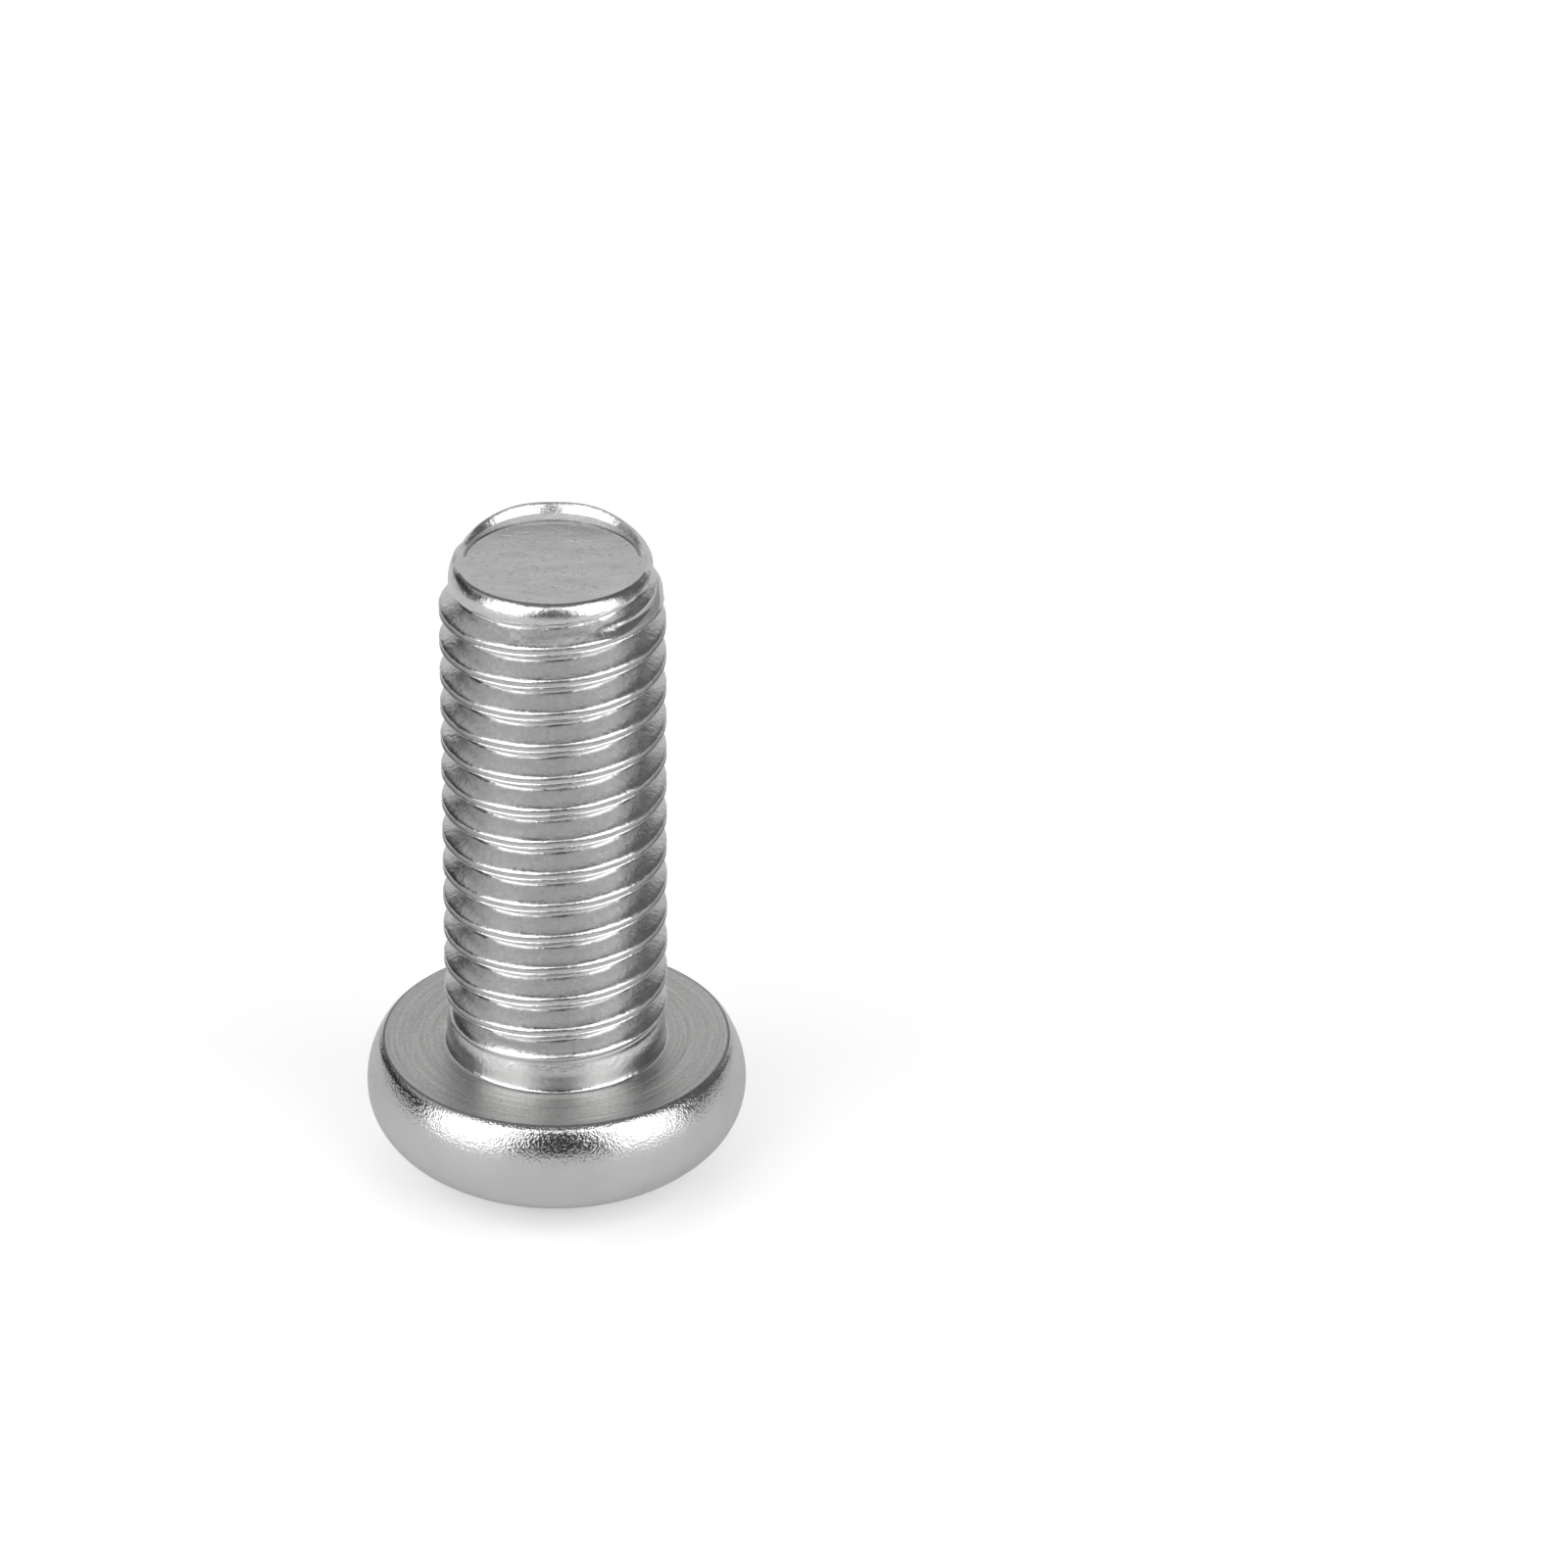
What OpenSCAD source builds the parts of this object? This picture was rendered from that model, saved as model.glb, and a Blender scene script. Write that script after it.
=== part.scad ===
// Machine screw with a pan head and a cross recess, in millimetres.
// The origin is the centre of the bearing face under the head, +Z runs along the shank to the tip.

/* [Thread] */
// outside diameter over the thread crests
thread_d = 4.95; // [4.7:0.05:5.2]
// distance from one crest to the next along the axis
pitch = 0.8; // [0.7:0.05:0.9]
// length from the bearing face to the tip
shank_l = 12; // [8:0.5:20]
// angle of the thread start about the axis
thread_turn = 328; // [0:1:359]
// plain neck between the head and the thread
neck_h = 1.1; // [1:0.05:1.4]
// length over which the thread fades into the neck
runout_h = 0.85; // [0.5:0.05:1.2]

/* [Tip] */
// diameter of the flat end face
tip_d = 3.8; // [3.4:0.05:4]
// length of the rounded lead-in at the tip
tip_h = 0.6; // [0.4:0.05:0.8]

/* [Head] */
// widest diameter of the head
head_d = 8.44; // [8.2:0.02:9.4]
// height of the head from the bearing face to the top of the dome
head_h = 3.3; // [3.1:0.05:3.6]
// how far the bearing face stays inside the widest diameter, all round
bearing_in = 0.41; // [0.3:0.01:0.6]
// radius of the rounded side of the head
side_r = 1.9; // [1.7:0.05:2]
// depth of the widest place below the bearing face
side_drop = 0.86; // [0.7:0.02:0.95]
// height of the small break at the edge of the bearing face
edge_h = 0.1; // [0.05:0.01:0.2]
// height of the fillet where the neck meets the bearing face
fillet_h = 0.26; // [0.2:0.01:0.3]

/* [Recess] */
// width of the cross over two wings at the top of the dome
recess_w = 4.6; // [4.2:0.1:4.8]
// width of one wing at the top of the dome
wing_w = 1.12; // [0.9:0.02:1.3]
// depth of the recess below the top of the dome
recess_h = 2.1; // [1.6:0.05:2.3]
// lean of the wing ends from the axis
wing_lean = 24; // [15:1:27]
// lean of the wing sides from the axis
side_lean = 4; // [2:1:6]
// rounding between two wings at the top of the dome
corner_r = 0.6; // [0.4:0.02:0.7]
// depth of the shallow point in the middle of the floor
floor_h = 0.3; // [0.1:0.05:0.4]

/* [Hidden] */

// facets of the round surfaces
round_n = 96;
// thread steps in one turn
turn_n = 48;
// facets of one rounding between two wings
corner_n = 5;
// the smallest overlap between joined shapes
lap = 0.2;

crest_r = thread_d / 2;
// sharp thread flanks stand at this angle to a plane across the axis
flank_angle = 30;
// parts of one pitch, measured from the middle of the crest
crest_half = 0.06;
root_from = 0.4;
root_mid = 0.5;
root_to = 1 - root_from;
// how much deeper the middle of the root lies
root_sag = 0.02;
root_r = crest_r - (root_from - crest_half) * pitch / tan(flank_angle);
// the neck is about as thick as the rod before the thread was rolled
neck_r = root_r + (crest_r - root_r) * 0.6;
// the fading thread stands proud of the neck by this much
lip = 0.02;
sunk_r = neck_r - 0.12;
fillet_r = crest_r + 0.03 - neck_r;

head_r = head_d / 2;
bearing_r = head_r - bearing_in;
side_c = head_r - side_r;
side_m = head_h - side_drop;
// dome that runs on smoothly from the rounded side
dome_r = (side_c * side_c + side_m * side_m - side_r * side_r) / (2 * (side_m - side_r));
dome_c = dome_r - head_h;
meet_angle = asin(side_c / (dome_r - side_r));
meet_r = dome_r * sin(meet_angle);
meet_z = dome_c - dome_r * cos(meet_angle);
edge_r = side_c + sqrt(side_r * side_r - (side_drop - edge_h) * (side_drop - edge_h));

// outline of the thread along one pitch: place on the pitch, radius
function outline() = [
    [-crest_half, crest_r],
    [crest_half, crest_r],
    [root_from, root_r],
    [root_mid, root_r - root_sag],
    [root_to, root_r]
];

// largest radius allowed near the tip
function tip_limit(z) =
    let (up = min(1, max(0, z - shank_l + tip_h) / tip_h))
    tip_d / 2 + (crest_r - tip_d / 2) * sqrt(1 - up * up);

// how much of the thread depth is there at this height
function full(z) = min(1, max(0, z - neck_h) / runout_h);

function radius_at(r, z) =
    z < neck_h - pitch * (root_from - crest_half) - lap / 10
        ? sunk_r
        : min(tip_limit(z), neck_r + lip + (r - neck_r - lip) * full(z));

// height of the crest at the first column, low enough to start inside the neck
first_z = crest_half * pitch;
turns = ceil((shank_l + lap) / pitch);
columns = turns * turn_n;

function thread_point(i, j) =
    let (
        o = outline()[j],
        z = first_z + pitch * (i / turn_n + o[0]),
        a = thread_turn + 360 * i / turn_n,
        r = radius_at(o[1], z)
    )
    [r * cos(a), r * sin(a), z];

// column i has five places; the first place runs on for one more turn
function at(i, j) = j == 0 ? i : columns + turn_n + 1 + (j - 1) * (columns + 1) + i;
function next_at(i, j) = j == 4 ? at(i + turn_n, 0) : at(i, j + 1);

module thread_body() {
    n_all = columns + turn_n + 1 + 4 * (columns + 1);
    points = concat(
        [for (i = [0 : columns + turn_n]) thread_point(i, 0)],
        [for (j = [1 : 4]) for (i = [0 : columns]) thread_point(i, j)],
        [[0, 0, first_z + pitch / 2], [0, 0, first_z + pitch * (turns + 0.5)]]
    );
    skin = [
        for (i = [0 : columns - 1]) for (j = [0 : 4])
            for (t = [0, 1])
                t == 0
                    ? [at(i, j), next_at(i, j), next_at(i + 1, j)]
                    : [at(i, j), next_at(i + 1, j), at(i + 1, j)]
    ];
    bottom = concat(
        [for (i = [0 : turn_n - 1]) [n_all, at(i, 0), at(i + 1, 0)]],
        [for (j = [0 : 4]) [n_all, next_at(0, j), at(0, j)]]
    );
    top = concat(
        [for (i = [columns : columns + turn_n - 1]) [n_all + 1, at(i + 1, 0), at(i, 0)]],
        [for (j = [0 : 4]) [n_all + 1, at(columns, j), next_at(columns, j)]]
    );
    intersection() {
        polyhedron(points = points, faces = concat(skin, bottom, top), convexity = 10);
        cylinder(r = crest_r + lap, h = shank_l, $fn = round_n);
    }
}

module head_core() {
    polygon([
        [0, 0], [bearing_r, 0], [edge_r, -edge_h], [side_c, -side_drop],
        [meet_r, meet_z], [0, meet_z]
    ]);
}

module head_side() {
    intersection() {
        translate([side_c, -side_drop]) circle(r = side_r, $fn = round_n);
        translate([0, -head_h]) square([head_r + lap, head_h - edge_h]);
    }
}

module head_dome() {
    intersection() {
        translate([0, dome_c]) circle(r = dome_r, $fn = 2 * round_n);
        translate([0, -head_h - lap]) square([meet_r, head_h + lap + meet_z]);
    }
}

module neck_core() {
    translate([0, -lap]) square([neck_r, neck_h + lap]);
}

module fillet() {
    difference() {
        translate([neck_r - lap, -lap]) square([fillet_r + lap, fillet_h + lap]);
        translate([neck_r + fillet_r, fillet_h]) scale([fillet_r / fillet_h, 1])
            circle(r = fillet_h, $fn = round_n);
    }
}

// points round the cross at a depth below the top of the dome
function cross_at(depth) =
    let (
        w = recess_w / 2 - depth * tan(wing_lean),
        b = wing_w / 2 - depth * tan(side_lean),
        q = corner_r * (1 - depth / (2 * recess_h)),
        quarter = concat(
            [[w, -b], [w, b]],
            [for (s = [0 : corner_n])
                let (a = 270 - 90 * s / corner_n)
                [b + q + q * cos(a), b + q + q * sin(a)]]
        )
    )
    [for (k = [0 : 3]) for (p = quarter)
        [p[0] * cos(90 * k) - p[1] * sin(90 * k), p[0] * sin(90 * k) + p[1] * cos(90 * k)]];

module recess() {
    m = 4 * (corner_n + 3);
    low = cross_at(-lap);
    high = cross_at(recess_h);
    polyhedron(
        points = concat(
            [for (p = low) [p[0], p[1], -head_h - lap]],
            [for (p = high) [p[0], p[1], -head_h + recess_h]],
            [[0, 0, -head_h - lap], [0, 0, -head_h + recess_h + floor_h]]
        ),
        faces = concat(
            [for (i = [0 : m - 1]) [2 * m, i, (i + 1) % m]],
            [for (i = [0 : m - 1]) [2 * m + 1, m + (i + 1) % m, m + i]],
            [for (i = [0 : m - 1]) [i, m + i, m + (i + 1) % m, (i + 1) % m]]
        ),
        convexity = 6
    );
}

module machine_screw() {
    color([0.72, 0.72, 0.73]) difference() {
        union() {
            rotate_extrude($fn = round_n) head_core();
            rotate_extrude($fn = round_n) head_side();
            rotate_extrude($fn = round_n) head_dome();
            rotate_extrude($fn = round_n) neck_core();
            rotate_extrude($fn = round_n) fillet();
            thread_body();
        }
        recess();
    }
}

machine_screw();
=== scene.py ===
from math import asin, cos, pi, radians, sin, sqrt, tan

import bpy
from mathutils import Matrix, Vector, noise


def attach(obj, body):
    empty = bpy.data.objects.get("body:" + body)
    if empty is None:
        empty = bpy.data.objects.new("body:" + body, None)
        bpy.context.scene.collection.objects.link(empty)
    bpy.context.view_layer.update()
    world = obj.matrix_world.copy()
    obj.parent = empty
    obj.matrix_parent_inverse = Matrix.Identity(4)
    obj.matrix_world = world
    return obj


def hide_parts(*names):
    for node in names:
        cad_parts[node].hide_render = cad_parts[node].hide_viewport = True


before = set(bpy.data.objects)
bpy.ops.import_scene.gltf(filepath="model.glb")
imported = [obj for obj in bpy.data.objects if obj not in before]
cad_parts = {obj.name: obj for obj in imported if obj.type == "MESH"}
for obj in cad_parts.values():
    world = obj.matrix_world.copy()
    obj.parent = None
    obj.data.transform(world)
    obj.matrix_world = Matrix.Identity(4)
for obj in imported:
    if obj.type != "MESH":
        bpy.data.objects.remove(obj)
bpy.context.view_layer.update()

MM = 0.001

# Sizes are in millimetres. The origin is the centre of the bearing face under the head,
# +Z runs along the shank to the tip, and the camera stands on the side of -Y.

# Thread and neck
PITCH = 0.8
CREST_R = 2.475
CREST_AT = 0.12          # height of a crest centre above the x axis
THREAD_FROM = 0.42       # helical rows run between these two heights, level rows beyond
THREAD_TO = 11.5
SNAP = 0.004             # a row nearer than this to one of them ends on it
NECK_R = 2.33
NECK_H = 0.65            # the thread begins here and is whole at NECK_H + RUNOUT_H
RUNOUT_H = 0.35
FLARE_FROM = 0.9         # the neck widens by FLARE between these heights
FLARE_TO = 0.3
FLARE = 0.1
FILLET_H = 0.14
FILLET_BASE = 2.49
RAGGED_REACH = 0.13      # the crest is ragged this far from its centre, in pitches
RAGGED_DEPTH = 0.022
WAVE_DEPTH = 0.004       # slow waves of the whole thread
SEAM_HALF = 0.058        # half the width of the ragged seam on the crest, in pitches
SEAM_FROM = 1.0          # lowest and highest place of the seam
SEAM_TO = 11.75
NECK_LEVELS = (0.38, 0.34, 0.3, 0.26, 0.22, 0.185, 0.15, 0.12, 0.09, 0.065, 0.043,
               0.025, 0.012, 0.004, 0.0)
# outline of one thread: place on the pitch from the crest centre, radius less CREST_R
OUTLINE = [
    (-0.5, -0.44), (-0.475, -0.437), (-0.445, -0.43), (-0.40, -0.372), (-0.35, -0.306),
    (-0.30, -0.24), (-0.25, -0.174), (-0.20, -0.108), (-0.165, -0.064), (-0.14, -0.034),
    (-0.12, -0.011), (-0.105, -0.001), (-0.085, -0.005), (-0.065, -0.016), (-0.05, -0.034),
    (-0.03, -0.052), (0.0, -0.058), (0.03, -0.05), (0.047, -0.026), (0.06, -0.007),
    (0.075, 0.0), (0.095, -0.006), (0.12, -0.02), (0.145, -0.042), (0.17, -0.07),
    (0.20, -0.108), (0.25, -0.174), (0.30, -0.24), (0.35, -0.306), (0.40, -0.372),
    (0.445, -0.43), (0.475, -0.437),
]
CLOSED = OUTLINE + [(0.5, -0.44)]
ROWS = len(OUTLINE)

# Tip
SHANK_L = 12.0
FACE_R = 1.86            # flat part of the end face
FACE_TILT = 0.05         # the end face was sheared a little off square
FACE_WAVE = 0.006
FACE_GRAIN = 0.0025
FACE_RINGS = (1.8, 1.65, 1.5, 1.35, 1.2, 1.05, 0.9, 0.75, 0.6, 0.45, 0.3, 0.15)
RIM_UP = 0.4             # the rolled rim stands this much above the face on the far side
RIM_POWER = 1.3          # how fast it rises towards the far side
RIM_WAVES = 7            # it has this many shallow waves, this part of its height
RIM_WAVE = 0.04
RIM_R = 2.05
RIM_FLARE = 0.15         # the rim leans outward by this much, its foot by FOOT_FLARE
FOOT_FLARE = 0.04
RIM_LIP = 0.015
FLARE_DEPTH = 0.4        # the lean ends at this depth below the rim
FAR_FROM = 0.12          # the raised rim has materials of its own where sin(angle) is more, the lowest ones painted shade
SHADE_CORNER_TO = -0.25        # and the near corner has a painted shade line where it is less
TIP_ROWS = 16
TIP_SPACING = 0.9
# how far the tip may reach outward at a depth below its rim
TIP = [(-0.5, 2.04), (0.0, 2.06), (0.015, 2.09), (0.045, 2.13), (0.09, 2.17), (0.15, 2.205),
       (0.23, 2.24), (0.33, 2.262), (0.7, 2.275), (0.75, 2.34), (0.83, 2.475), (20.0, 2.6)]

# Bearing face
BEARING_R = 3.81
RINGS = 36
MARK_DEPTH = 0.004       # shallow turning marks
MARK_RATE = 9.0          # their changes per millimetre
MARK_ROUND = 0.25        # and how much they change on the way round

# Head
HEAD_R = 4.22
HEAD_TOP = 3.3           # depth of the top of the dome without the recess
SIDE_Z = -1.07           # widest place of the head
SIDE_A = 2.4             # the upper side is part of an ellipse, across and along
SIDE_B = 2.1
SIDE_N = 30
EDGE_H = 0.1
# the edge of the bearing face: part of its width, part of its height
EDGE_ROWS = ((0.15, 0.05), (0.4, 0.25), (0.65, 0.52), (0.85, 0.78))
SHADE_LINE_ROWS = 2            # this many rows of the edge are painted dark, a painted shade line
MEET_R = 2.9             # the dome is a sphere inside this radius
DOME_R = 7.154
DOME_C = 3.854
DOME_N = 15
CURVE_N = 20             # rows of the curve that joins the side and the dome
SIDE_HANDLE = 0.85       # and how strongly it keeps to each of them
DOME_HANDLE = 0.75
HEAD_WAVE = 0.006
HEAD_GRAIN = 0.0012

# Cross recess
RECESS_W = 4.6           # over two wings
WING_W = 1.12
RECESS_H = 2.1
WING_LEAN = 24
SIDE_LEAN = 4
CORNER_R = 0.6
CORNER_N = 7
FLOOR_H = 0.3
WING_ROUND = 0.13        # rounding of the wing ends
CUT_ABOVE = 0.3          # the cutter starts this far outside the dome
# rounded rim of the recess: depth below the dome, widening
RIM_LAYERS = ((-0.25, 0.075), (-0.02, 0.075), (0.0, 0.06), (0.015, 0.035), (0.035, 0.015),
              (0.065, 0.003), (0.1, 0.0))
WALL_DEPTHS = (0.75, 1.0, 1.3, 1.6, 1.85, 2.0, RECESS_H)

TURN_N = 162             # columns round the axis
SHARP = radians(42)      # edges above this angle stay sharp

verts = []
faces = []
face_kind = []
# the last two kinds: the rough crest seam, which also paints shade at the foot of the rim, and a
# painted shade line along edges
THREAD, END, BEARING, HEAD, RECESS, SEAM_AND_SHADE, SHADE_LINE = range(7)


def unit(x):
    """The value, held between 0 and 1."""
    return min(1.0, max(0.0, x))


def steps(table, x):
    """Straight lines between the points of a table."""
    for (x0, y0), (x1, y1) in zip(table, table[1:]):
        if x <= x1:
            k = max(0.0, (x - x0) / (x1 - x0))
            return y0 + (y1 - y0) * k
    return table[-1][1]


def grain(x, y, z, size, seed=0.0):
    """Smooth random value from -1 to 1, with lumps of the given size."""
    return noise.noise(Vector((x / size + seed, y / size - seed, z / size + 2 * seed)))


def rim_z(a):
    """Height of the rim of the tip at an angle."""
    far = max(0.0, sin(a))
    return (SHANK_L - FACE_TILT * RIM_R * sin(a)
            + RIM_UP * far ** RIM_POWER * (1 + RIM_WAVE * sin(RIM_WAVES * a)))


def end_z(x, y):
    """Height of the end face."""
    return (SHANK_L - FACE_TILT * y + FACE_WAVE * grain(x, y, 0.0, 0.6, 1.0)
            + FACE_GRAIN * grain(x, y, 0.0, 0.16, 4.0))


def thread_r(a, z):
    """Radius of the shank surface at an angle and a height."""
    turn = (z - CREST_AT) / PITCH - a / (2 * pi)
    place = turn - round(turn)
    drop = steps(CLOSED, place)
    on_crest = max(0.0, 1.0 - abs(place) / RAGGED_REACH)
    x, y = CREST_R * cos(a), CREST_R * sin(a)
    if on_crest:
        ragged = grain(x, y, z, 0.11, 3.1) + 0.6 * grain(x, y, z, 0.05, 8.2)
        drop -= RAGGED_DEPTH * on_crest * max(0.0, ragged + 0.1)
    drop += WAVE_DEPTH * grain(x, y, z, 0.5, 5.0)
    r = CREST_R + drop
    # the run-out into the neck, which widens downward
    wide = unit((FLARE_FROM - z) / (FLARE_FROM - FLARE_TO))
    neck = NECK_R + FLARE * wide * wide * (3 - 2 * wide)
    r = neck + (r - neck) * unit((z - NECK_H) / RUNOUT_H)
    # the rounded tip
    depth = rim_z(a) - z
    r = min(r, steps(TIP, depth)
            + RIM_FLARE * max(0.0, sin(a)) * unit(1 - depth / FLARE_DEPTH))
    # the fillet at the bearing face
    if z < FILLET_H:
        up = 1 - z / FILLET_H
        r += (FILLET_BASE - NECK_R - FLARE) * (1 - sqrt(max(0.0, 1 - up * up)))
    return r


def add(r, a, z):
    """A new vertex at a radius, an angle and a height."""
    verts.append((r * cos(a), r * sin(a), z))
    return len(verts) - 1


def angle(c):
    """Angle of a column."""
    return 2 * pi * (c % TURN_N) / TURN_N


def face(kind, *ids):
    """A face without repeated vertices, left out if fewer than three remain."""
    keep = []
    for i in ids:
        if i not in keep:
            keep.append(i)
    if len(keep) > 2:
        faces.append(keep)
        face_kind.append(kind)


def ring(place, *given):
    """A row of vertices round the axis. place gives radius and height at an angle."""
    row = []
    for c in range(TURN_N):
        a = angle(c)
        r, z = place(*given, a)
        row.append(add(r, a, z))
    return row


def join(kind, upper, lower):
    """Quads between two rows, the upper one first. kind may depend on the angle."""
    for c in range(TURN_N):
        d = (c + 1) % TURN_N
        this = kind(angle(c)) if callable(kind) else kind
        face(this, upper[c], lower[c], lower[d], upper[d])


def cap(kind, z, row, up):
    """A fan that closes a row, facing up or down."""
    pole = add(0.0, 0.0, z)
    for c in range(TURN_N):
        here, after = row[c], row[(c + 1) % TURN_N]
        face(kind, pole, *((here, after) if up else (after, here)))


def shank_place(z, a):
    return thread_r(a, z), z


def tip_place(part, a):
    """Part of the way from the last level of the thread up to the rim."""
    z = THREAD_TO + (rim_z(a) - THREAD_TO) * part
    return thread_r(a, z), z


def rim_place(r, part, a):
    """On the inner wall of the rim, part of the way up from the end face."""
    lean = FOOT_FLARE + (RIM_FLARE - FOOT_FLARE + RIM_LIP) * part
    out = r + max(0.0, sin(a)) * lean
    low = end_z(out * cos(a), out * sin(a))
    return out, low + max(rim_z(a) - low, 0.0) * part


def face_place(r, a):
    return r, end_z(r * cos(a), r * sin(a))


def bearing_place(k, a):
    r = FILLET_BASE + (BEARING_R - FILLET_BASE) * k / RINGS
    mark = noise.noise(Vector((r * MARK_RATE, MARK_ROUND * cos(a), MARK_ROUND * sin(a))))
    return r, MARK_DEPTH * mark * min(1.0, k / 4, (RINGS - k) / 3)


def head_place(r, z, a):
    x, y = r * cos(a), r * sin(a)
    lump = HEAD_WAVE * grain(x, y, z, 1.3, 2.0) + HEAD_GRAIN * grain(x, y, z, 0.22, 6.0)
    lump *= unit((-z - 0.02) / 0.3) * unit(r - 1.0)
    return r + lump, z


# Thread: its rows follow the helix between two level rows
high = ring(shank_place, THREAD_TO)
low = ring(shank_place, THREAD_FROM)
made = {}


def helix_vertex(i, j):
    """Vertex at a column, counted on from turn to turn, and a place of the outline."""
    i += TURN_N * (j // ROWS)
    j %= ROWS
    z = CREST_AT + PITCH * (i / TURN_N + OUTLINE[j][0])
    if z > THREAD_TO - SNAP:
        return high[i % TURN_N]
    if z < THREAD_FROM + SNAP:
        return low[i % TURN_N]
    if (i, j) not in made:
        a = angle(i)
        made[i, j] = add(thread_r(a, z), a, z)
    return made[i, j]


first = int((THREAD_FROM - CREST_AT) / PITCH - 2) * TURN_N
last = int((THREAD_TO - CREST_AT) / PITCH + 2) * TURN_N
for i in range(first, last):
    for j in range(ROWS):
        middle = (OUTLINE[j][0] + CLOSED[j + 1][0]) / 2
        z = CREST_AT + PITCH * (i / TURN_N + middle)
        seam = abs(middle) < SEAM_HALF and SEAM_FROM < z < SEAM_TO
        face(SEAM_AND_SHADE if seam else THREAD, helix_vertex(i, j), helix_vertex(i + 1, j),
             helix_vertex(i + 1, j + 1), helix_vertex(i, j + 1))

# Tip: level rows up to the rim, over it, down its inner wall and across the end face
above = high
for k in range(1, TIP_ROWS + 1):
    row = ring(tip_place, (k / TIP_ROWS) ** TIP_SPACING)
    # on the near side the last row below the crown of the rim is painted shade, a dark line
    join((lambda a: SHADE_LINE if sin(a) < SHADE_CORNER_TO else THREAD) if k == TIP_ROWS else THREAD,
         row, above)
    above = row
# on the far side the lowest rows of the rim's inner wall, where it meets the end face, are
# painted shade
for r, part, far_kind in (
        (2.035, 1.0, THREAD), (2.01, 0.96, THREAD), (1.985, 0.8, THREAD),
        (1.945, 0.48, THREAD), (1.905, 0.18, SEAM_AND_SHADE), (1.885, 0.06, SHADE_LINE), (FACE_R, 0.0, END)):
    row = ring(rim_place, r, part)
    join(lambda a: far_kind if sin(a) > FAR_FROM else END, row, above)
    above = row
for r in FACE_RINGS:
    row = ring(face_place, r)
    join(END, row, above)
    above = row
cap(END, end_z(0.0, 0.0), above, up=True)

# Neck, fillet and bearing face
below = low
for z in NECK_LEVELS:
    row = ring(shank_place, z)
    join(THREAD, below, row)
    below = row
for k in range(1, RINGS + 1):
    row = ring(bearing_place, k)
    join(BEARING, below, row)
    below = row

# Head: the edge, the rounded side, a curve on to the dome, and the dome
edge_t = asin((-EDGE_H - SIDE_Z) / SIDE_B)
edge_r = HEAD_R - SIDE_A * (1 - cos(edge_t))
side = [(BEARING_R + (edge_r - BEARING_R) * k, -EDGE_H * d) for k, d in EDGE_ROWS]
for k in range(SIDE_N + 1):
    t = edge_t * (1 - k / SIDE_N)
    side.append((HEAD_R - SIDE_A * (1 - cos(t)), SIDE_Z + SIDE_B * sin(t)))
lean = asin(MEET_R / DOME_R)
meet_z = DOME_C - DOME_R * cos(lean)
curve = [(HEAD_R, SIDE_Z), (HEAD_R, SIDE_Z - SIDE_HANDLE),
         (MEET_R + DOME_HANDLE * cos(lean), meet_z + DOME_HANDLE * sin(lean)),
         (MEET_R, meet_z)]
for k in range(1, CURVE_N + 1):
    t = k / CURVE_N
    mix = ((1 - t) ** 3, 3 * t * (1 - t) ** 2, 3 * t * t * (1 - t), t ** 3)
    side.append(tuple(sum(w * p[n] for w, p in zip(mix, curve)) for n in (0, 1)))
for k in range(1, DOME_N):
    r = MEET_R * (1 - k / DOME_N)
    side.append((r, DOME_C - sqrt(DOME_R ** 2 - r * r)))
# the first rows, at the edge of the bearing face, are a painted shade line
for n, (r, z) in enumerate(side):
    row = ring(head_place, r, z)
    join(SHADE_LINE if n < SHADE_LINE_ROWS else HEAD, below, row)
    below = row
cap(HEAD, DOME_C - DOME_R, below, up=False)


def mesh_object(name, points, polygons, kinds, materials):
    """An object from points in millimetres, with the material number of each face."""
    mesh = bpy.data.meshes.new(name)
    mesh.from_pydata([(x * MM, y * MM, z * MM) for x, y, z in points], [], polygons)
    mesh.validate()
    for m in materials:
        mesh.materials.append(m)
    mesh.polygons.foreach_set("material_index", kinds)
    obj = bpy.data.objects.new(name, mesh)
    bpy.context.scene.collection.objects.link(obj)
    return obj


class Tree:
    """Short calls for the nodes of one node tree."""

    def __init__(self, tree):
        self.tree = tree

    def new(self, kind, **settings):
        node = self.tree.nodes.new(kind)
        for key, value in settings.items():
            setattr(node, key, value)
        return node

    def link(self, a, b):
        self.tree.links.new(a, b)

    def math(self, operation, a, b=None):
        n = self.new("ShaderNodeMath", operation=operation)
        for socket, v in zip(n.inputs, (a, b)):
            if v is None:
                continue
            if isinstance(v, (int, float)):
                socket.default_value = v
            else:
                self.link(v, socket)
        return n.outputs[0]

    def span(self, value, low, high, start=0.0, end=1.0, smooth=False):
        """The value from low to high, turned into one from start to end."""
        n = self.new("ShaderNodeMapRange")
        if smooth:
            n.interpolation_type = "SMOOTHSTEP"
        self.link(value, n.inputs["Value"])
        for key, v in zip(("From Min", "From Max", "To Min", "To Max"),
                          (low, high, start, end)):
            n.inputs[key].default_value = v
        return n.outputs["Result"]


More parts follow.
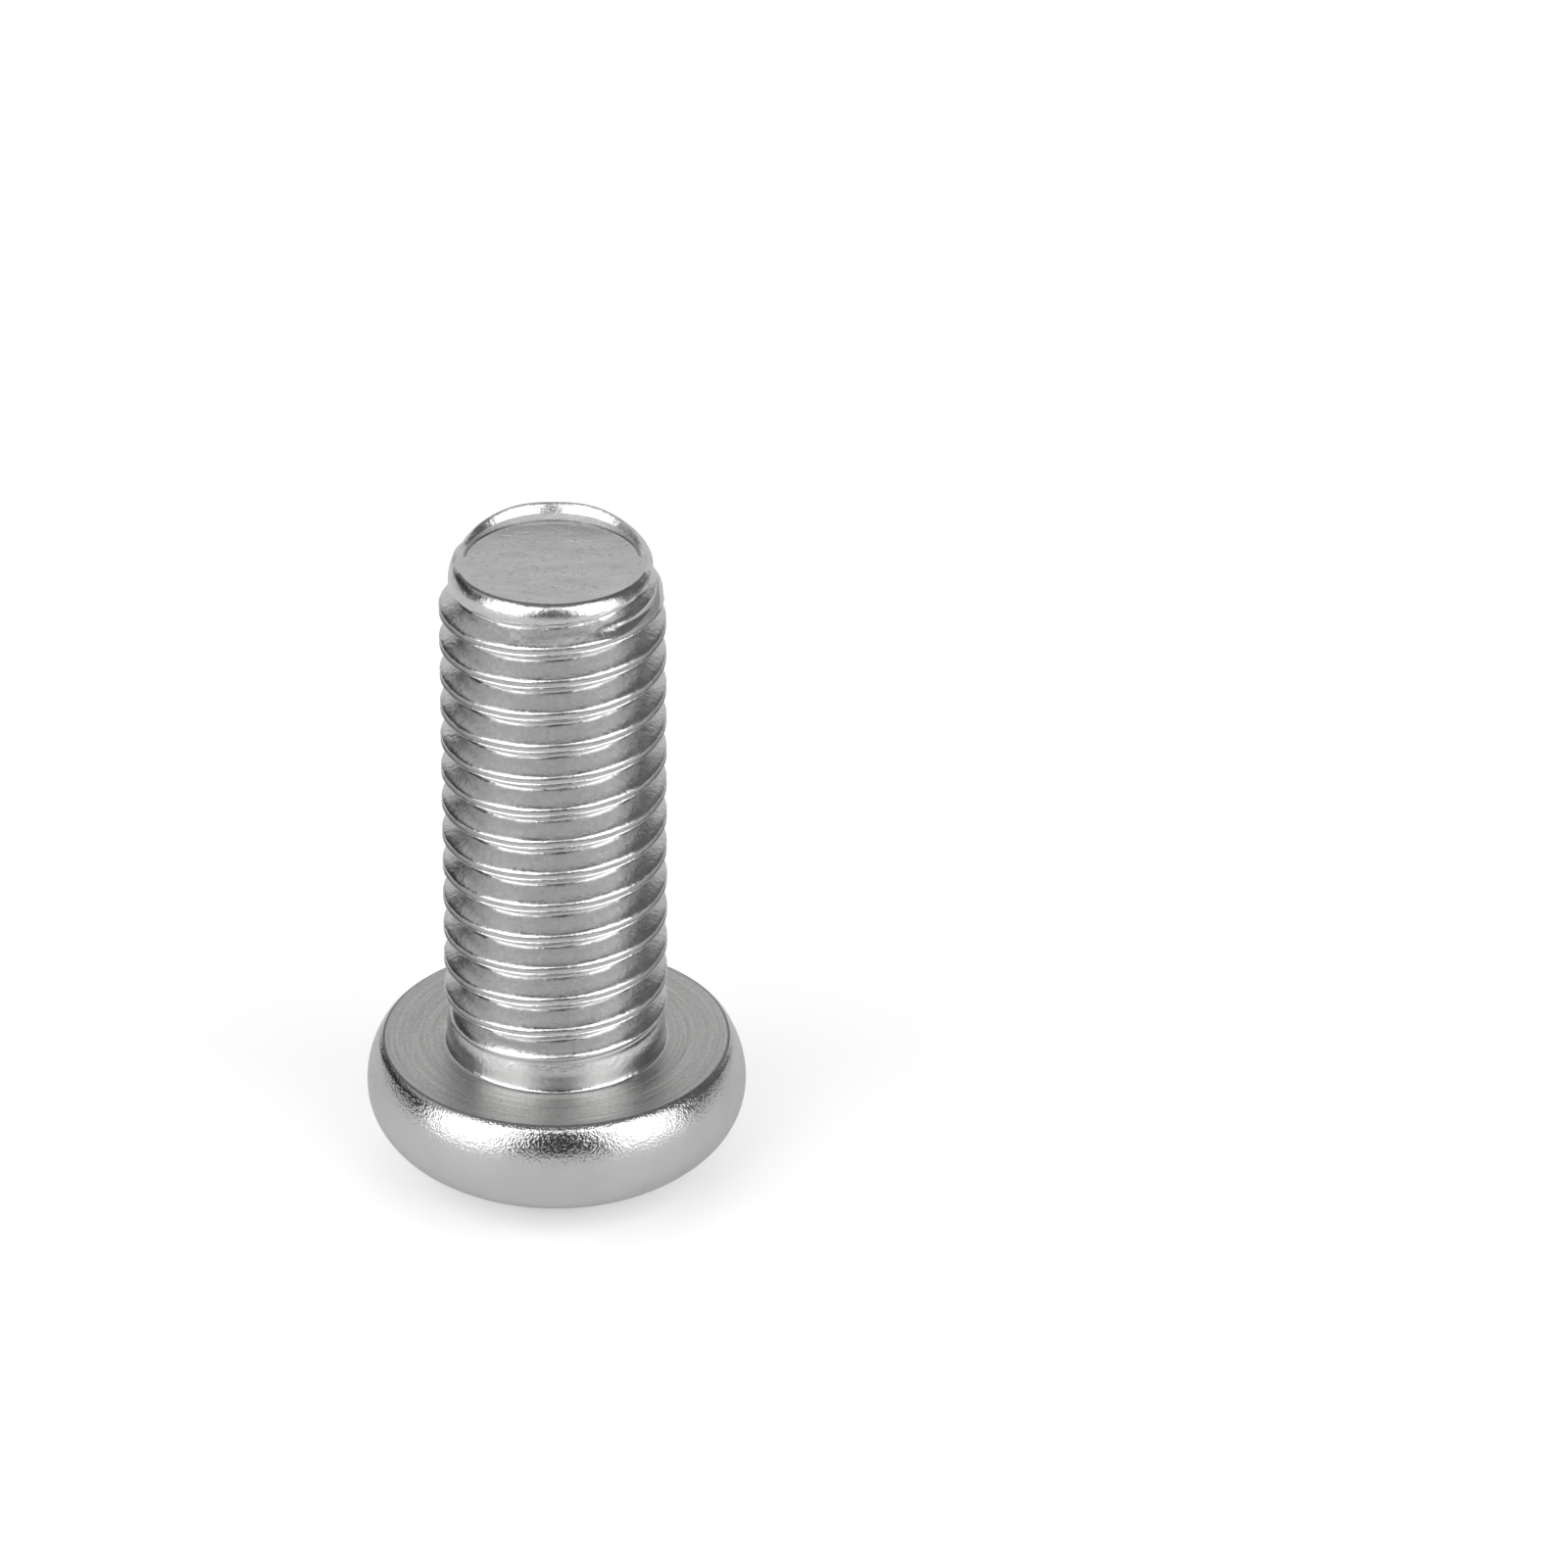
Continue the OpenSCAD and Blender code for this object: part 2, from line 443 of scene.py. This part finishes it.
class Steel(Tree):
    """The nodes of one metal finish, whose textures are measured in millimetres."""

    def __init__(self, name):
        self.material = bpy.data.materials.new(name)
        self.material.use_nodes = True
        super().__init__(self.material.node_tree)
        self.shader = self.tree.nodes["Principled BSDF"]
        self.shader.inputs["Metallic"].default_value = 1.0
        scale = self.new("ShaderNodeVectorMath", operation="SCALE")
        self.link(self.new("ShaderNodeTexCoord").outputs["Object"], scale.inputs[0])
        scale.inputs["Scale"].default_value = 1 / MM
        self.mm = scale.outputs[0]

    def noise(self, size, detail=3.0, rough=0.55, vector=None):
        n = self.new("ShaderNodeTexNoise")
        n.inputs["Scale"].default_value = 1 / size
        n.inputs["Detail"].default_value = detail
        n.inputs["Roughness"].default_value = rough
        self.link(vector or self.mm, n.inputs["Vector"])
        return n.outputs["Fac"]

    def stretched(self, x, y, z):
        n = self.new("ShaderNodeVectorMath", operation="MULTIPLY")
        self.link(self.mm, n.inputs[0])
        n.inputs[1].default_value = (x, y, z)
        return n.outputs[0]

    def polar(self):
        """Distance from the axis and angle about it."""
        n = self.new("ShaderNodeSeparateXYZ")
        self.link(self.mm, n.inputs[0])
        x, y = n.outputs["X"], n.outputs["Y"]
        squares = self.math("ADD", self.math("MULTIPLY", x, x), self.math("MULTIPLY", y, y))
        return self.math("SQRT", squares), self.math("ARCTAN2", y, x)

    def grey(self, value, dark, light):
        """Base colour between two colours."""
        n = self.new("ShaderNodeMix", data_type="RGBA")
        self.link(value, n.inputs["Factor"])
        n.inputs["A"].default_value = (*dark, 1)
        n.inputs["B"].default_value = (*light, 1)
        self.link(n.outputs["Result"], self.shader.inputs["Base Color"])

    def roughness(self, value, start, end):
        """Roughness between two values."""
        self.link(self.span(value, 0.3, 0.7, start, end), self.shader.inputs["Roughness"])

    def bump(self, *heights):
        """Heights with their depth in millimetres, one on the other."""
        last = None
        for value, depth in heights:
            n = self.new("ShaderNodeBump")
            n.inputs["Distance"].default_value = depth * MM
            self.link(value, n.inputs["Height"])
            if last:
                self.link(last, n.inputs["Normal"])
            last = n.outputs["Normal"]
        self.link(last, self.shader.inputs["Normal"])


def thread_steel():
    """Rolled flanks with blotches and streaks along the thread."""
    m = Steel("thread_steel")
    m.grey(m.noise(0.09, 6, 0.75), (0.46, 0.46, 0.46), (0.86, 0.86, 0.855))
    m.roughness(m.noise(0.5, 4), 0.15, 0.3)
    streak = m.noise(0.05, 3, 0.6, m.stretched(0.35, 0.35, 1.6))
    m.bump((m.noise(0.12, 4), 0.010), (streak, 0.0022))
    return m.material


def end_steel():
    """The sheared end face, with scratches and pits."""
    m = Steel("end_steel")
    m.grey(m.noise(0.45, 7, 0.7, m.stretched(0.45, 1.0, 1.0)), (0.44, 0.44, 0.44),
           (0.84, 0.84, 0.835))
    m.roughness(m.noise(0.5, 5), 0.42, 0.56)
    scratch = m.noise(0.07, 4, 0.6, m.stretched(0.16, 1.0, 1.0))
    pits = m.span(m.noise(0.13, 2), 0.3, 0.42, smooth=True)
    m.bump((scratch, 0.01), (pits, 0.022), (m.noise(0.04, 3), 0.006))
    return m.material


def bearing_steel():
    """Turning marks in rings about the axis, worn in places."""
    m = Steel("bearing_steel")
    r, turned = m.polar()
    level = m.new("ShaderNodeCombineXYZ")
    m.link(r, level.inputs["X"])
    m.link(m.math("MULTIPLY", turned, 0.09), level.inputs["Y"])
    rings = m.noise(0.1, 5, 0.7, level.outputs[0])
    worn = m.math("ADD", m.span(rings, 0.3, 0.7, 0.0, 0.6),
                  m.span(m.noise(0.08, 6, 0.8), 0.35, 0.65, 0.0, 0.5))
    m.grey(worn, (0.27, 0.27, 0.27), (0.66, 0.66, 0.65))
    m.roughness(rings, 0.26, 0.4)
    m.bump((rings, 0.02), (m.noise(0.06, 4, 0.6), 0.006))
    return m.material


def head_steel():
    """The pressed head, polished and finely dented."""
    m = Steel("head_steel")
    m.grey(m.noise(0.6, 5), (0.56, 0.56, 0.56), (0.66, 0.66, 0.655))
    m.roughness(m.noise(0.7, 4), 0.11, 0.19)
    cells = m.new("ShaderNodeTexVoronoi")
    cells.inputs["Scale"].default_value = 1 / 0.055
    m.link(m.mm, cells.inputs["Vector"])
    dents = m.span(cells.outputs["Distance"], 0.0, 0.7, smooth=True)
    m.bump((m.noise(0.14, 4, 0.6), 0.009), (dents, 0.0036), (m.noise(0.028, 3, 0.6), 0.0016))
    return m.material


def recess_steel():
    """The walls of the recess, drawn along the axis by the punch."""
    m = Steel("recess_steel")
    m.grey(m.noise(0.5, 5), (0.46, 0.46, 0.46), (0.6, 0.6, 0.6))
    m.roughness(m.noise(0.4, 4), 0.24, 0.38)
    drawn = m.noise(0.05, 3, 0.6, m.stretched(1.0, 1.0, 0.2))
    m.bump((drawn, 0.005), (m.noise(0.12, 3), 0.008))
    return m.material


def seam_and_shade_steel():
    """The rough seam on the crest; the same finish paints shade at the foot of the rim's inner
    wall.
    """
    m = Steel("seam_and_shade_steel")
    m.grey(m.noise(0.05, 5, 0.8), (0.24, 0.24, 0.24), (0.72, 0.72, 0.715))
    m.roughness(m.noise(0.09, 4), 0.3, 0.6)
    m.bump((m.noise(0.06, 4, 0.7), 0.022), (m.noise(0.025, 3, 0.6), 0.005))
    return m.material


def painted_shade_line_steel():
    """Painted shade: a dark, dull line painted along sharp edges and at the foot of the rim."""
    m = Steel("painted_shade_line_steel")
    m.grey(m.noise(0.08, 4, 0.7), (0.1, 0.1, 0.1), (0.36, 0.36, 0.355))
    m.roughness(m.noise(0.2, 3), 0.3, 0.5)
    m.bump((m.noise(0.05, 3), 0.004))
    return m.material


# in the order of the kinds: thread, end, bearing, head, recess, seam with painted shade, painted
# shade line
steels = [thread_steel(), end_steel(), bearing_steel(), head_steel(), recess_steel(),
          seam_and_shade_steel(), painted_shade_line_steel()]
screw = mesh_object("screw", verts, faces, face_kind, steels)


def cross(depth, flare):
    """Points round the recess at a depth below the top of the dome, widened by flare."""
    w = RECESS_W / 2 - depth * tan(radians(WING_LEAN)) + flare
    b = WING_W / 2 - depth * tan(radians(SIDE_LEAN)) + flare
    q = CORNER_R * (1 - depth / (2 * RECESS_H)) - flare
    e = min(WING_ROUND, 0.3 * b)
    quarter = [(w - 0.6 * e, -b), (w - 0.12 * e, -b + 0.45 * e), (w, -b + 1.1 * e),
               (w, b - 1.1 * e), (w - 0.12 * e, b - 0.45 * e), (w - 0.6 * e, b)]
    for s in range(CORNER_N + 1):
        a = radians(270 - 90 * s / CORNER_N)
        quarter.append((b + q + q * cos(a), b + q + q * sin(a)))
    return [(x * c - y * s, x * s + y * c)
            for c, s in ((1, 0), (0, 1), (-1, 0), (0, -1)) for x, y in quarter]


def sag(x, y):
    """How far the dome lies above its top at a place."""
    return DOME_R - sqrt(DOME_R ** 2 - x * x - y * y)


# Cutter of the recess: its first layers follow the dome, the others are level
layers = []
for t, flare in RIM_LAYERS:
    flat = cross(max(t, 0.0), flare)
    for _ in range(4):
        layer = []
        for n, (x, y) in enumerate(flat):
            depth = max(t, 0.0) + sag(x, y)
            layer.append((*cross(depth, flare)[n], -HEAD_TOP + t + sag(x, y)))
        flat = [(x, y) for x, y, z in layer]
    layers.append(layer)
for depth in WALL_DEPTHS:
    layers.append([(x, y, -HEAD_TOP + depth) for x, y in cross(depth, 0.0)])
points = [p for layer in layers for p in layer]
size = len(layers[0])
polygons = []
for k in range(len(layers) - 1):
    for i in range(size):
        j = (i + 1) % size
        polygons.append((k * size + i, k * size + j, (k + 1) * size + j, (k + 1) * size + i))
base = (len(layers) - 1) * size
points += [(0, 0, -HEAD_TOP - CUT_ABOVE), (0, 0, -HEAD_TOP + RECESS_H + FLOOR_H)]
for i in range(size):
    j = (i + 1) % size
    polygons.append((len(points) - 2, j, i))
    polygons.append((len(points) - 1, base + i, base + j))
cutter = mesh_object("recess_cutter", points, polygons, [RECESS] * len(polygons), steels)
cut = screw.modifiers.new("recess", "BOOLEAN")
cut.operation = "DIFFERENCE"
cut.object = cutter
cut.solver = "EXACT"
shaped = bpy.data.meshes.new_from_object(
    screw.evaluated_get(bpy.context.evaluated_depsgraph_get()))
screw.modifiers.clear()
screw.data = shaped
bpy.data.objects.remove(cutter)
shaped.shade_smooth()
shaped.set_sharp_from_angle(angle=SHARP)

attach(screw, "root")
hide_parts("machine_screw")

# Floor, on which the head stands. The camera sees it lifted to white, gloss a little.
FLOOR_HALF = 3.0         # metres
FLOOR_LIFT = 0.4
GLOSSY_SHARE = 0.12
lowest = min(v.co.z for v in shaped.vertices)
floor_mesh = bpy.data.meshes.new("floor")
floor_mesh.from_pydata([(x * FLOOR_HALF, y * FLOOR_HALF, lowest)
                        for x, y in ((-1, -1), (1, -1), (1, 1), (-1, 1))], [], [(0, 1, 2, 3)])
floor = bpy.data.objects.new("floor", floor_mesh)
bpy.context.scene.collection.objects.link(floor)
pale = bpy.data.materials.new("pale_floor")
pale.use_nodes = True
nodes = Tree(pale.node_tree)
shader = nodes.tree.nodes["Principled BSDF"]
shader.inputs["Base Color"].default_value = (0.8, 0.8, 0.8, 1)
shader.inputs["Roughness"].default_value = 0.6
shader.inputs["Emission Color"].default_value = (1, 1, 1, 1)
path = nodes.new("ShaderNodeLightPath").outputs
seen = nodes.math("MAXIMUM", path["Is Camera Ray"],
                  nodes.math("MULTIPLY", path["Is Glossy Ray"], GLOSSY_SHARE))
nodes.link(nodes.math("MULTIPLY", seen, FLOOR_LIFT), shader.inputs["Emission Strength"])
floor_mesh.materials.append(pale)

# Camera
FOCAL_PX = 10000.0
IMAGE_PX = 1600.0
EYE = Vector((5.04, -185.9, 114.1))
PITCH_DOWN = radians(30.07)
ROLL = radians(0.26)
camera = bpy.data.cameras.new("camera")
camera.sensor_width = 36
camera.lens = camera.sensor_width * FOCAL_PX / IMAGE_PX
camera.clip_start = 0.01
camera.clip_end = 20
eye = bpy.data.objects.new("camera", camera)
bpy.context.scene.collection.objects.link(eye)
right = Vector((1, 0, 0))
down = Vector((0, -sin(PITCH_DOWN), -cos(PITCH_DOWN)))
ahead = Vector((0, cos(PITCH_DOWN), -sin(PITCH_DOWN)))
right, down = (right * cos(ROLL) - down * sin(ROLL), right * sin(ROLL) + down * cos(ROLL))
turned = Matrix((right, -down, -ahead)).transposed().to_4x4()
eye.matrix_world = Matrix.Translation(EYE * MM) @ turned
bpy.context.scene.camera = eye

# Studio: an even light with dark and bright fields
BASE_LIGHT = 0.72
world = bpy.data.worlds.new("studio")
bpy.context.scene.world = world
world.use_nodes = True
nodes = Tree(world.node_tree)
back = nodes.tree.nodes["Background"]
xyz = nodes.new("ShaderNodeSeparateXYZ")
nodes.link(nodes.new("ShaderNodeTexCoord").outputs["Generated"], xyz.inputs[0])


def band(value, low, high, soft):
    """One between two values in degrees, fading out over the soft edge."""
    return nodes.math("MULTIPLY",
                      nodes.span(value, low - soft / 2, low + soft / 2, smooth=True),
                      nodes.span(value, high + soft / 2, high - soft / 2, smooth=True))


# degrees to the right of the camera's side, and degrees above the floor
turn = nodes.math("MULTIPLY", nodes.math("ARCTAN2", xyz.outputs["X"],
                                         nodes.math("MULTIPLY", xyz.outputs["Y"], -1)), 180 / pi)
rise = nodes.math("MULTIPLY", nodes.math("ARCSINE", xyz.outputs["Z"]), 180 / pi)
# degrees from the gap between the two lamps, which is wide at the floor and narrows upward
gap = nodes.math("ADD", nodes.math("ABSOLUTE", nodes.math("SUBTRACT", turn, 3)),
                 nodes.math("MULTIPLY", rise, 0.55))
light = BASE_LIGHT
# across, from, to, lowest, highest, soft edge, strength; a later field covers an earlier one
for across, left, right, low, high, soft, strength in (
        (turn, 74, 140, -10, 68, 14, 0.13),       # dark, to the right
        (turn, -140, -76, 30, 68, 14, 0.5),       # grey, high on the left
        (turn, -146, -76, -10, 32, 8, 0.04),      # dark, low on the left
        (turn, -84, 82, 60, 78, 8, 0.05),         # dark, above the lamps
        (turn, -79, 78, -12, 58, 5, 2.3),         # the lamps
        (gap, -99, 35, -14, 60, 5, 0.05)):        # the gap between them
    n = nodes.new("ShaderNodeMix")
    nodes.link(nodes.math("MULTIPLY", band(across, left, right, soft),
                          band(rise, low, high, soft)), n.inputs["Factor"])
    if isinstance(light, float):
        n.inputs["A"].default_value = light
    else:
        nodes.link(light, n.inputs["A"])
    n.inputs["B"].default_value = strength
    light = n.outputs["Result"]
nodes.link(light, back.inputs["Strength"])
back.inputs["Color"].default_value = (1, 1, 1, 1)

bpy.context.scene.view_settings.view_transform = "Standard"
